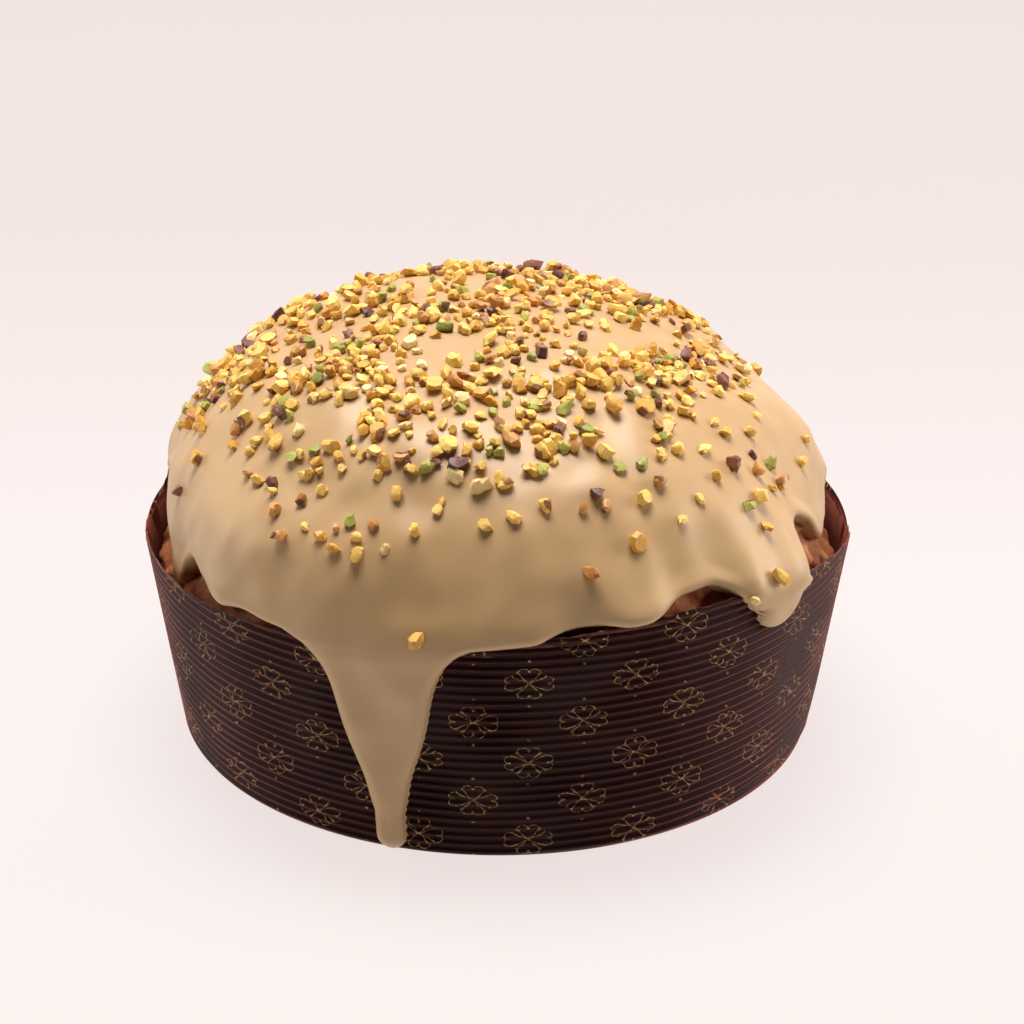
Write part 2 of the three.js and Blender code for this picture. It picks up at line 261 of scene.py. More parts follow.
PRINT_STEPS += [
    ("round", "ABSOLUTE", "lobe off"),
    ("beyond", "GREATER_THAN", "a", LOBE_AT),
    ("bent", "POWER", "a", SIDE_POWER),
    ("side at", "MULTIPLY", "bent", SIDE_WIDTH / LOBE_AT**SIDE_POWER),
    ("side off", "SUBTRACT", "b", "side at"),
    ("side", "ABSOLUTE", "side off"),
    ("round part", "MULTIPLY", "round", "beyond"),
    ("before", "SUBTRACT", 1.0, "beyond"),
    ("side part", "MULTIPLY", "side", "before"),
    ("outline", "ADD", "round part", "side part"),
    ("on outline", "LESS_THAN", "outline", OUTLINE),
    ("in petal", "LESS_THAN", "a", 1.0),
    ("petal", "MULTIPLY", "on outline", "in petal"),
    ("stamen b", "MULTIPLY", "b", math.cos(STAMEN_TURN)),
    ("stamen a", "MULTIPLY", "a", math.sin(STAMEN_TURN)),
    ("stamen off", "SUBTRACT", "stamen b", "stamen a"),
    ("stamen away", "ABSOLUTE", "stamen off"),
    ("on stamen", "LESS_THAN", "stamen away", STAMEN_LINE),
    ("in stamen", "LESS_THAN", "a", STAMEN_END),
    ("stamen", "MULTIPLY", "on stamen", "in stamen"),
    ("seed", "LESS_THAN", "seed off", 0.0),
    ("tip", "LESS_THAN", "tip off", 0.0),
    ("heart", "LESS_THAN", "a", HEART),
    ("dot", "LESS_THAN", "dot off", 0.0),
    ("tall", "GREATER_THAN", "high", "across"),
    ("dots", "MULTIPLY", "dot", "tall"),
    ("with stamen", "MAXIMUM", "petal", "stamen"),
    ("with seed", "MAXIMUM", "with stamen", "seed"),
    ("with tip", "MAXIMUM", "with seed", "tip"),
    ("with heart", "MAXIMUM", "with tip", "heart"),
    ("drawn", "MAXIMUM", "with heart", "dots"),
    # Flutes' phase up the wall: its cosine is -1 in their valleys, where it dims the ink as painted
    # shade.
    ("turn", "MULTIPLY_ADD", "up", 2 * math.pi / FLUTE_PITCH,
     -2 * math.pi * BASE_BEVEL / FLUTE_PITCH),
    ("flute", "COSINE", "turn"),
]

# Photograph's frame and the camera that took it: places in millimetres, angles in radians
PICTURE = 1024
CAMERA_PLACE = (4.163, -800.0, 429.627)
CAMERA_PITCH = 0.4332
CAMERA_ROLL = 0.007
FOCAL_PIXELS = 3084.6
SENSOR = 36.0


def apart(azimuth, centre):
    """Degrees from centre to azimuth, the short way round, from -180 to 180."""
    return (azimuth - centre + 540) % 360 - 180


def waves(listed, azimuth):
    """Sum of bells round the cake: each rise times exp(-(degrees apart / half width) squared)."""
    return sum(rise * np.exp(-((apart(azimuth, at) / half) ** 2)) for at, half, rise in listed)


def smooth(share):
    """Smooth step: 0 below share 0, 1 above share 1, and t * t * (3 - 2 t) between."""
    t = np.clip(share, 0, 1)
    return t * t * (3 - 2 * t)


def wall_radius(height):
    """Radius of the case's leaning wall: the base's, plus the lean times the height."""
    return BASE_RADIUS + WALL_LEAN * height


def rim_height(azimuth):
    """Height of the case's rim: level, plus its waves."""
    return RIM_HEIGHT + waves(RIM_WAVES, azimuth)


def pour(azimuth, wider=0.0):
    """1 where the glaze runs out over the rim and 0 where it ends on the bread."""
    shares = [(half + wider - np.abs(apart(azimuth, at)) + 4) / 8 for at, half in POURS]
    return smooth(np.max(shares, axis=0))


def edge_height(azimuth):
    """Height of the glaze's edge between the drips: near the rim, with its waves and dips."""
    over = pour(azimuth)
    level = over * EDGE_OVER_RIM + (1 - over) * EDGE_IN_RIM
    dips = [(drip[0], 1.2 * drip[2], -DRIP_DIP) for drip in DRIPS]
    return rim_height(azimuth) + level + waves(EDGE_WAVES + dips, azimuth)


def swell(azimuth, height):
    """Gentle swellings of the dome: two sines round it, fading out at its foot and its top."""
    a = np.radians(azimuth)
    band = np.sin(np.pi * np.clip((height - FILL_HEIGHT) / (CROWN_HEIGHT - FILL_HEIGHT), 0, 1))
    return DOME_SWELL * band * (np.sin(2 * a + 0.6) + np.sin(5 * a + height / 14))


def drift(height):
    """Sideways shift of the dome's centre: it grows from the fill line up by a power of 1.5."""
    share = np.maximum(height - FILL_HEIGHT, 0) / (CROWN_HEIGHT - FILL_HEIGHT)
    return CROWN_DRIFT * share**1.5


def fullness(azimuth):
    """1 at the front, where the bread fills the case, falling to 0 at the sides and the back."""
    return smooth((FULL_HALF - np.abs(apart(azimuth, FULL_AZIMUTH))) / FULL_EASE)


def dome_radius(azimuth, height, skin):
    """Radius of the dome, thickened by skin: an ellipse whose sides are a little fuller."""
    up = np.clip((height - DOME_HEIGHT) / (CROWN_HEIGHT - DOME_HEIGHT + skin), 0, 1)
    power = CROWN_POWER + FULL_POWER * fullness(azimuth)
    widest = DOME_RADIUS + FULL_RADIUS * fullness(azimuth) + skin + swell(azimuth, height)
    return widest * (1 - up**2) ** (1 / power)


def crag(azimuth, height):
    """Torn crust between dome and case: sine ridges cut in, within a band of heights."""
    band = smooth((height - FILL_HEIGHT) / 10) * smooth((DOME_HEIGHT + 24 - height) / 12)
    return -CRAG * band * (1 + np.sin(13 * np.radians(azimuth) + height / 3))


def ripple(points, size, seed, count=18):
    """Soft relief from about -1 to 1: sine waves about size long, in random directions, added."""
    rng = np.random.default_rng(seed)
    way = rng.normal(size=(count, 3))
    way /= np.linalg.norm(way, axis=1, keepdims=True)
    lengths = size * rng.uniform(0.75, 1.5, count)
    turns = points @ (2 * np.pi * way / lengths[:, None]).T + rng.uniform(0, 2 * np.pi, count)
    return np.sin(turns).sum(-1) / math.sqrt(count)


def soft_least(one, other, width):
    """The smaller of two, rounded off where they are closer than width."""
    near = np.maximum(width - np.abs(one - other), 0) / width
    return np.minimum(one, other) - near * near * width / 4


def soft_most(one, other, width):
    """The larger of two, rounded off where they are closer than width."""
    return -soft_least(-one, -other, width)


def paper_radius(azimuth, height, pressed=1):
    """Outer radius of the case's wall: leaning out, with slow unevenness and cosine flutes.

    It takes in the crease low on the right and the overlap of the strip's ends at the back. Where
    pressed is 0, the flutes are left out.
    """
    ring = around(azimuth, wall_radius(height), height)
    uneven = 0.35 * ripple(ring * (1, 1, 0.3), 60, 3) * smooth(height / 20)
    turn = 2 * np.pi * (height - BASE_BEVEL + 0.25 * ripple(ring * (1, 1, 0.1), 45, 4))
    flute = 0.5 + 0.5 * np.cos(turn / FLUTE_PITCH)
    depth = FLUTE_DEPTH * (1 + 0.25 * ripple(ring, 25, 5)) * (1 - flute**1.1) * pressed
    lap = SEAM_STEP * smooth((azimuth - SEAM_AZIMUTH + SEAM_LAP * 2) / 0.8)
    begins, whole, ebbs, ends = CREASE_AZIMUTHS
    folded = smooth((azimuth - begins) / (whole - begins))
    folded = folded * smooth((ends - azimuth) / (ends - ebbs))
    crease_at = CREASE_HEIGHT + 0.6 * np.sin(np.radians(azimuth) * 9)
    crease = 1.1 * np.exp(-(((height - crease_at) / 0.6) ** 2))
    crease = crease + 0.7 * smooth((crease_at - height) / 0.8)
    return wall_radius(height) + uneven - depth + lap - folded * crease


def around(azimuth, radius, height, shift=0.0):
    """Points at azimuths, radii and heights, with the axis shifted sideways."""
    a = np.radians(azimuth)
    return np.stack(
        np.broadcast_arrays(shift + radius * np.sin(a), -radius * np.cos(a), height), -1
    )


def grid_cells(rows, columns, start=0):
    """Corners of the cells of a grid closed round the axis, rows downwards, faces outwards."""
    row, column = np.mgrid[0 : rows - 1, 0:columns]
    after = (column + 1) % columns
    first = start + row * columns
    low = first + columns
    cells = [first + column, low + column, low + after, first + after]
    return np.stack(cells, -1).reshape(-1, 4)


def fan(centre, ring):
    """Triangles from one centre point to a closed ring of points."""
    return np.stack([np.full(len(ring), centre), ring, np.roll(ring, -1)], -1)


def mesh_piece(name, points, faces, materials, hides=()):
    """Mesh object of points in millimetres and arrays of faces, one array for each material."""
    mesh = bpy.data.meshes.new(name)
    groups = [(index, group) for index, part in enumerate(faces) for group in part]
    loops = np.concatenate([group.ravel() for _, group in groups])
    sizes = np.concatenate([np.full(len(group), group.shape[1]) for _, group in groups])
    index = np.concatenate([np.full(len(group), which) for which, group in groups])
    mesh.vertices.add(len(points))
    mesh.vertices.foreach_set("co", (points * MM).astype(np.float32).ravel())
    mesh.loops.add(len(loops))
    mesh.loops.foreach_set("vertex_index", loops.astype(np.int32))
    mesh.polygons.add(len(sizes))
    starts = np.concatenate([[0], np.cumsum(sizes)[:-1]])
    mesh.polygons.foreach_set("loop_start", starts.astype(np.int32))
    mesh.polygons.foreach_set("material_index", index.astype(np.int32))
    mesh.update(calc_edges=True)
    mesh.shade_smooth()
    for material in materials:
        mesh.materials.append(material)
    piece = bpy.data.objects.new(name, mesh)
    bpy.context.scene.collection.objects.link(piece)
    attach(piece, "root")
    if hides:
        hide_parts(*hides)
    return piece


def colour(code):
    """Linear colour of an sRGB hex value, such as C8A070."""
    parts = [int(code[i : i + 2], 16) / 255 for i in (0, 2, 4)]
    linear = [p / 12.92 if p <= 0.04045 else ((p + 0.055) / 1.055) ** 2.4 for p in parts]
    return (*linear, 1.0)


def add(tree, kind, inputs=None, stops=(), **settings):
    """Adds one node: settings are its properties, inputs its sockets' values or links to them.

    Stops are a colour ramp's, as (place, sRGB hex).
    """
    node = tree.nodes.new(kind)
    for key, value in settings.items():
        setattr(node, key, value)
    for key, value in (inputs or {}).items():
        if isinstance(value, bpy.types.Node):
            value = value.outputs[0]
        if isinstance(value, bpy.types.NodeSocket):
            tree.links.new(value, node.inputs[key])
        else:
            node.inputs[key].default_value = value
    elements = node.color_ramp.elements if stops else []
    while len(elements) < len(stops):
        elements.new(0.5)
    for element, (place, code) in zip(elements, stops):
        element.position = place
        element.color = colour(code)
    return node


def new_material(name):
    """Material with an empty node tree but for a texture coordinate node, and its object
    coordinates.
    """
    material = bpy.data.materials.new(name)
    material.use_nodes = True
    tree = material.node_tree
    tree.nodes.clear()
    place = add(tree, "ShaderNodeTexCoord").outputs["Object"]
    return material, tree, place


def finish_material(material, tree, sockets):
    """Principled surface with these sockets, wired to the material's output."""
    surface = add(tree, "ShaderNodeBsdfPrincipled", sockets)
    add(tree, "ShaderNodeOutputMaterial", {"Surface": surface})
    return material


def per_mm(size):
    """Noise scale for grains of this size in millimetres."""
    return 1 / (size * MM)


def glaze_material():
    """White-chocolate pistachio coating: soft satin gloss, warm beige, with a few burst bubbles."""
    material, tree, place = new_material("poured_coating_satin")
    cloud = add(tree, "ShaderNodeTexNoise", {"Vector": place, "Scale": per_mm(38), "Detail": 3.0})
    base = add(tree, "ShaderNodeValToRGB", {0: cloud}, [(0.3, "BA986B"), (0.7, "BF9F73")])
    fine = add(tree, "ShaderNodeTexNoise", {"Vector": place, "Scale": per_mm(2.2), "Detail": 3.0})
    soft = add(tree, "ShaderNodeTexNoise", {"Vector": place, "Scale": per_mm(9), "Detail": 1.0})
    cells = add(tree, "ShaderNodeTexVoronoi", {"Vector": place, "Scale": per_mm(24)})
    pits = add(tree, "ShaderNodeMapRange", {0: cells.outputs["Distance"], 1: 0.02, 2: 0.05})
    dimpled = add(tree, "ShaderNodeBump", {"Strength": 0.5, "Distance": 0.5 * MM, "Height": pits})
    grain = add(
        tree,
        "ShaderNodeBump",
        {"Strength": 0.05, "Distance": 0.3 * MM, "Height": fine, "Normal": dimpled},
    )
    bump = add(
        tree,
        "ShaderNodeBump",
        {"Strength": 0.3, "Distance": 0.5 * MM, "Height": soft, "Normal": grain},
    )
    return finish_material(
        material,
        tree,
        {"Base Color": base, "Roughness": 0.4, "IOR": 1.46, "Normal": bump},
    )


def crust_material():
    """Baked sweet-dough crust: dry and matt, in random patches from dark browned crust to golden
    crumb.
    """
    material, tree, place = new_material("baked_crust")
    patch = add(tree, "ShaderNodeTexNoise", {"Vector": place, "Scale": per_mm(9), "Detail": 6.0})
    baked = [(0.3, "7A3A1C"), (0.5, "B0683C"), (0.72, "D39A62")]
    base = add(tree, "ShaderNodeValToRGB", {0: patch}, baked)
    pores = add(tree, "ShaderNodeTexNoise", {"Vector": place, "Scale": per_mm(1.3), "Detail": 5.0})
    bump = add(tree, "ShaderNodeBump", {"Strength": 0.7, "Distance": 0.6 * MM, "Height": pores})
    return finish_material(
        material, tree, {"Base Color": base, "Roughness": 0.72, "IOR": 1.45, "Normal": bump}
    )


def print_lines(tree):
    """Gold line print from the strip's UV by PRINT_STEPS: 1 on a line, 0 off it, worn in places,
    and dimmed to 0.45 in the flutes' valleys as painted shade.
    """
    strip = add(tree, "ShaderNodeUVMap", uv_map="strip_mm")
    split = add(tree, "ShaderNodeSeparateXYZ", {0: strip})
    done = {"along": split.outputs[0], "up": split.outputs[1]}
    for name, operation, *given in PRINT_STEPS:
        inputs = {place: done.get(value, value) for place, value in enumerate(given)}
        done[name] = add(tree, "ShaderNodeMath", inputs, operation=operation).outputs[0]
    worn = add(tree, "ShaderNodeTexNoise", {"Vector": strip, "Scale": 1.1, "Detail": 2.0})
    left = add(tree, "ShaderNodeMapRange", {0: worn, 1: 0.42, 2: 0.55, 3: 0.2, 4: 1.0})
    # Painted shade: the ink falls to 0.45 of itself in the flutes' valleys, where the wall lies in
    # shade.
    valley_shade_range = {0: done["flute"], 1: -1.0, 2: 0.0, 3: 0.45, 4: 1.0}
    valley_shade = add(tree, "ShaderNodeMapRange", valley_shade_range)
    ink = add(tree, "ShaderNodeMath", {0: done["drawn"], 1: left}, operation="MULTIPLY")
    return add(tree, "ShaderNodeMath", {0: ink, 1: valley_shade}, operation="MULTIPLY").outputs[0]


def printed_paper_material():
    """Printed baking paper: thin, satin from its grease-proof coat, gold ink on dark maroon, the
    ink dimmed in the flutes' valleys as painted shade.
    """
    material, tree, place = new_material("printed_baking_paper")
    cloud = add(tree, "ShaderNodeTexNoise", {"Vector": place, "Scale": per_mm(14), "Detail": 4.0})
    ground = add(tree, "ShaderNodeValToRGB", {0: cloud}, [(0.3, "1C0807"), (0.7, "2A0F0D")])
    ink = add(
        tree,
        "ShaderNodeMix",
        {0: print_lines(tree), 6: ground.outputs[0], 7: colour("A88A56")},
        data_type="RGBA",
    ).outputs[2]
    fibre = add(tree, "ShaderNodeTexNoise", {"Vector": place, "Scale": per_mm(0.9), "Detail": 3.0})
    bump = add(tree, "ShaderNodeBump", {"Strength": 0.25, "Distance": 0.2 * MM, "Height": fibre})
    sockets = {"Base Color": ink, "Roughness": 0.45, "Specular IOR Level": 0.1, "Normal": bump}
    sheen = {"Sheen Weight": 1.0, "Sheen Roughness": 0.3, "Sheen Tint": colour("E87460")}
    return finish_material(material, tree, {**sockets, **sheen})


def plain_paper_material():
    """Uncoated inner face of the baking paper: plain and matt, dark red-brown, redder in random
    patches.
    """
    material, tree, place = new_material("plain_baking_paper")
    cloud = add(tree, "ShaderNodeTexNoise", {"Vector": place, "Scale": per_mm(6), "Detail": 4.0})
    base = add(tree, "ShaderNodeValToRGB", {0: cloud}, [(0.3, "4A1D16"), (0.7, "6A2D20")])
    return finish_material(material, tree, {"Base Color": base, "Roughness": 0.6})


def nut_material(name, light, dark, skin):
    """Chopped pistachio kernel: waxy, its tone varying from chip to chip and in a fine grain, with
    its papery skin on one side.
    """
    material, tree, place = new_material(name)
    tint = add(tree, "ShaderNodeAttribute", attribute_name="tint").outputs["Fac"]
    grain = add(tree, "ShaderNodeTexNoise", {"Vector": place, "Scale": per_mm(1.4), "Detail": 3.0})
    uneven = add(tree, "ShaderNodeMath", {0: grain, 1: 0.5, 2: tint}, operation="MULTIPLY_ADD")
    base = add(tree, "ShaderNodeValToRGB", {0: uneven}, [(0.15, dark), (1.1, light)])
    peel = add(tree, "ShaderNodeAttribute", attribute_name="peel").outputs["Fac"]
    torn = add(tree, "ShaderNodeMath", {0: grain, 1: 0.9, 2: peel}, operation="MULTIPLY_ADD")
    worn = add(tree, "ShaderNodeMapRange", {0: torn, 1: 1.0, 2: 1.15})
    skinned = add(
        tree,
        "ShaderNodeMix",
        {0: worn, 6: base.outputs[0], 7: colour(skin)},
        data_type="RGBA",
    ).outputs[2]
    bump = add(tree, "ShaderNodeBump", {"Strength": 0.7, "Distance": 0.4 * MM, "Height": grain})
    sockets = {"Base Color": skinned, "Roughness": 0.45, "IOR": 1.47, "Normal": bump}
    deep = {"Subsurface Weight": 0.3, "Subsurface Scale": 1.5 * MM}
    return finish_material(material, tree, {**sockets, **deep})


def paper_case():
    """Fluted wall, wavy cut rim, plain inner wall and flat floor, closed as one shell.

    Outer radius = paper_radius(), and the inner one = the same without flutes, less the sheet's
    thickness. The cut edge = the rim's height plus a small saw-tooth and a sine.
    """
    even = np.linspace(-180, 180, PAPER_COLUMNS + 1)[:-1]
    azimuth = np.unique(np.concatenate([even, [179.3, 179.5, 179.7, 179.9, 165.3, 165.9]]))
    columns = len(azimuth)
    rim = rim_height(azimuth)
    jag = 0.3 * (np.abs((azimuth / 3.1) % 1 - 0.5) * 4 - 1) + 0.25 * np.sin(azimuth * 0.9)
    top = rim + jag * 0.8
    fixed = np.arange(BASE_BEVEL, FIXED_WALL, FLUTE_PITCH / FLUTE_ROWS)
    share = np.linspace(0, 1, RIM_ROWS)
    height = np.concatenate(
        [
            FIXED_WALL + (top - FIXED_WALL) * share[::-1, None],
            np.broadcast_to(fixed[::-1, None], (len(fixed), columns)),
        ]
    )
    a = np.broadcast_to(azimuth, height.shape)
    wall = around(a, paper_radius(a, height), height)

    def level(radius_at, height_at):
        """One level ring of points, as a row of the grid."""
        return around(azimuth, radius_at, height_at)[None]

    foot = [level(BASE_RADIUS - 0.6, 0.3), level(BASE_RADIUS - BASE_BEVEL, 0.0)]
    under = [level(ring, 0.0) for ring in FLOOR_RINGS]
    inner_share = np.linspace(0, 1, INNER_ROWS)[:, None]
    inner_height = top + (PAPER - top) * inner_share
    inner_azimuth = np.broadcast_to(azimuth, inner_height.shape)
    inner_radius = paper_radius(inner_azimuth, inner_height, 0) - RIM_SHEET
    inner_radius = inner_radius - 0.5 * smooth(inner_share * 6)
    inner = around(azimuth, inner_radius, inner_height)[::-1]
    over = [level(ring, PAPER) for ring in FLOOR_RINGS[::-1]]
    outside = np.concatenate([wall, *foot, *under])
    within = np.concatenate([*over, inner])
    points = np.concatenate([outside.reshape(-1, 3), within.reshape(-1, 3)])
    centres = len(points)
    points = np.concatenate([points, [(0, 0, 0), (0, 0, PAPER)]])
    out_rows, in_rows = len(outside), len(within)
    start_in = out_rows * columns
    last_out = (out_rows - 1) * columns + np.arange(columns)
    first_in = start_in + np.arange(columns)
    last_in = start_in + (in_rows - 1) * columns + np.arange(columns)
    first_out = np.arange(columns)
    lip = np.stack([last_in, first_out, np.roll(first_out, -1), np.roll(last_in, -1)], -1)
    outer_faces = grid_cells(out_rows, columns)
    inner_faces = grid_cells(in_rows, columns, start_in)
    faces = [
        [outer_faces, fan(centres, last_out)[:, ::-1]],
        [inner_faces, fan(centres + 1, first_in), lip],
    ]
    mesh = mesh_piece(
        "paper_case_fluted",
        points,
        faces,
        [printed_paper_material(), plain_paper_material()],
        ["paper_case"],
    ).data
    # The print follows the paper strip: along it in millimetres from the front, and up the wall
    unrolled = np.concatenate([azimuth, [180.0]])
    corner = np.zeros(len(mesh.loops), np.int32)
    mesh.loops.foreach_get("vertex_index", corner)
    column = corner % columns
    cell = outer_faces.size
    column[:cell] = np.where(
        (np.arange(cell) % 4 >= 2) & (column[:cell] == 0), columns, column[:cell]
    )
    up = points[corner, 2]
    stretch = (wall_radius(up) / PRINT_RADIUS) ** PRINT_STRETCH
    along = np.radians(unrolled[column]) * stretch * PRINT_RADIUS
    strip = mesh.uv_layers.new(name="strip_mm")
    strip.data.foreach_set("uv", np.stack([along, up], -1).astype(np.float32).ravel())


def bread_crust():
    """Bread from its dome to the case's floor, closed, with torn ridges where it shows.

    Radius = dome + crag above the rim; below it, drawn out smoothly to the wall at the fill line.
    Torn relief = two ripples less the absolute of a third, held below 0.8 mm.
    """
    azimuth = np.linspace(-180, 180, BREAD_COLUMNS + 1)[:-1]
    columns = len(azimuth)
    elevation = np.radians(np.linspace(88, 38, BREAD_CROWN_ROWS))
    crown = DOME_HEIGHT + (CROWN_HEIGHT - DOME_HEIGHT) * np.sin(elevation)
    shown = np.linspace(crown[-1] - 0.8, FILL_HEIGHT, BREAD_SHOWN_ROWS)
    height = np.concatenate([crown, shown, [30.0, 10.0, PAPER + GAP]])[:, None]
    a = np.broadcast_to(azimuth, (len(height), columns))
    height = np.broadcast_to(height, a.shape)
    in_case = wall_radius(height) - PAPER - GAP
    in_case = in_case - 0.9 * smooth((54 - height) / 6) - 1.8 * smooth((12 - height) / 5)
    ledge = rim_height(a) + GAP
    drawn = smooth((ledge - height) / (ledge - FILL_HEIGHT))
    open_radius = dome_radius(a, height, 0) + crag(a, height)
    open_radius = np.where(height < ledge, soft_least(open_radius, in_case, 2), open_radius)
    radius = open_radius + (in_case - open_radius) * np.where(height < FILL_HEIGHT, 1, drawn)
    shift = drift(height)
    ring = around(a, radius, height, shift)
    shows = smooth((height - FILL_HEIGHT) / 4) * smooth((100 - height) / 10)
    torn = 0.8 * ripple(ring * (1, 1, 1.6), 11, 21) + 0.4 * ripple(ring, 4.5, 22)
    torn = torn - 0.9 * np.abs(ripple(ring * (1, 1, 2.2), 16, 23))
    radius = radius + shows * np.minimum(torn, 0.8)
    rings = around(a, radius, height, shift)
    points = np.concatenate(
        [
            rings.reshape(-1, 3),
            [(float(drift(CROWN_HEIGHT)), 0, CROWN_HEIGHT), (0, 0, PAPER + GAP)],
        ]
    )
    count = len(height) * columns
    first = np.arange(columns)
    last = count - columns + first
    faces = [[grid_cells(len(height), columns), fan(count, first), fan(count + 1, last)[:, ::-1]]]
    mesh_piece("bread_crust", points, faces, [crust_material()], ["bread"])


def drip_half_width(drip, azimuth, height):
    """Half width of a drip in mm: its own, spreading above its neck and flaring at the rim.

    A slow sine makes its sides uneven where it spreads.
    """
    half, neck, spread, flare_width = drip[2:6]
    above = np.minimum(height - rim_height(azimuth), 1)
    flare = flare_width * np.exp(above / 5)
    uneven = 0.5 * np.sin(height / 5.5 + 0.76) * smooth((height - neck) / 12)
    return half + spread * np.clip(height - neck, 0, RIM_HEIGHT + 8 - neck) + flare + uneven


def drip_inside(drip, azimuth, height):
    """Millimetres inside a drip's outline: from its sides, or from its round tip low down."""
    centre, tip, half = drip[:3]
    across = np.radians(apart(azimuth, centre)) * wall_radius(height)
    side = drip_half_width(drip, azimuth, height) - np.abs(across)
    low = height < tip + half
    round_tip = half - np.hypot(across, np.minimum(height - tip - half, 0))
    return np.where(low, np.minimum(round_tip, side), side)


def glaze_inside(azimuth, height):
    """Millimetres inside the glaze's edge: the sheet and the drips, joined with a soft fillet."""
    inside = height - edge_height(azimuth)
    for drip in DRIPS:
        near = drip_inside(drip, azimuth, height)
        blend = np.clip(0.5 + 0.5 * (near - inside) / EDGE_FILLET, 0, 1)
        inside = inside + (near - inside) * blend + EDGE_FILLET * blend * (1 - blend)
    return inside


def glaze_columns():
    """Azimuths of the glaze's columns: even ones, and sets that crowd towards a drip's sides.

    A set lies at half width * sine of even angles from -90 to 90 degrees, and a few beside it.
    With each go the azimuth of the drip whose outline it follows, its distance from that drip's
    middle in mm, and the half width that it follows.
    """
    azimuth, centre, across, follow = [], [], [], []
    taken = []
    radius = wall_radius(RIM_HEIGHT)
    for drip in DRIPS:
        reach = drip[-1]
        inside = reach * np.sin(np.radians(np.linspace(-90, 90, DRIP_COLUMNS)))
        outside = reach + np.array(BESIDE_DRIP)
        places = np.concatenate([-outside[::-1], inside, outside])
        azimuth.append(drip[0] + np.degrees(places / radius))
        centre.append(np.full(len(places), drip[0]))
        across.append(places)
        follow.append(np.full(len(places), reach))
        taken.append((drip[0], math.degrees((reach + BESIDE_DRIP[-1] + 1.0) / radius)))
    even = np.arange(-180, 180, COLUMN_STEP)
    free = np.all([np.abs(apart(even, at)) > half for at, half in taken], axis=0)
    azimuth.append(even[free])
    centre.append(even[free])
    across.append(np.zeros(free.sum()))
    follow.append(np.zeros(free.sum()))
    azimuth = np.concatenate(azimuth)
    order = np.argsort(apart(azimuth, 0))
    return azimuth[order], *[np.concatenate(part)[order] for part in (centre, across, follow)]


def glaze_place(azimuth, height, skin):
    """Points of the glaze at a skin over its bed.

    The bed is the dome, whose heights over its widest ring grow with the skin. Where the glaze
    pours over the rim it leaves the dome on a straight slope to the rim and turns down the wall:
    radius = soft most(dome, soft least(slope, wall)), with the dome left behind below the rim.
    """
    rise = (CROWN_HEIGHT - DOME_HEIGHT + skin) / (CROWN_HEIGHT - DOME_HEIGHT)
    height = DOME_HEIGHT + (height - DOME_HEIGHT) * np.where(height > DOME_HEIGHT, rise, 1)
    rim = rim_height(azimuth)
    slope = BRIDGE_SLOPE + BRIDGE_STEEPER * (rim - RIM_HEIGHT) - BRIDGE_FULL * fullness(azimuth)
    sloping = wall_radius(rim) + skin + BRIDGE_LIP - slope * (height - rim)
    hung = soft_least(sloping, wall_radius(height) + skin, 4)
    dome = dome_radius(azimuth, height, skin)
    low_dome = dome - BELOW_RIM * smooth((rim + 1 - height) / 10)
    over = pour(azimuth, POUR_WIDER * smooth((rim - height) / 3))
    over = over * smooth((rim + BRIDGE_REACH - height) / 14)
    radius = dome + (soft_most(low_dome, hung, 4) - dome) * over
    shift = drift(height) * (1 - over * smooth((rim + 24 - height) / 24))
    return around(azimuth, radius, height, shift)


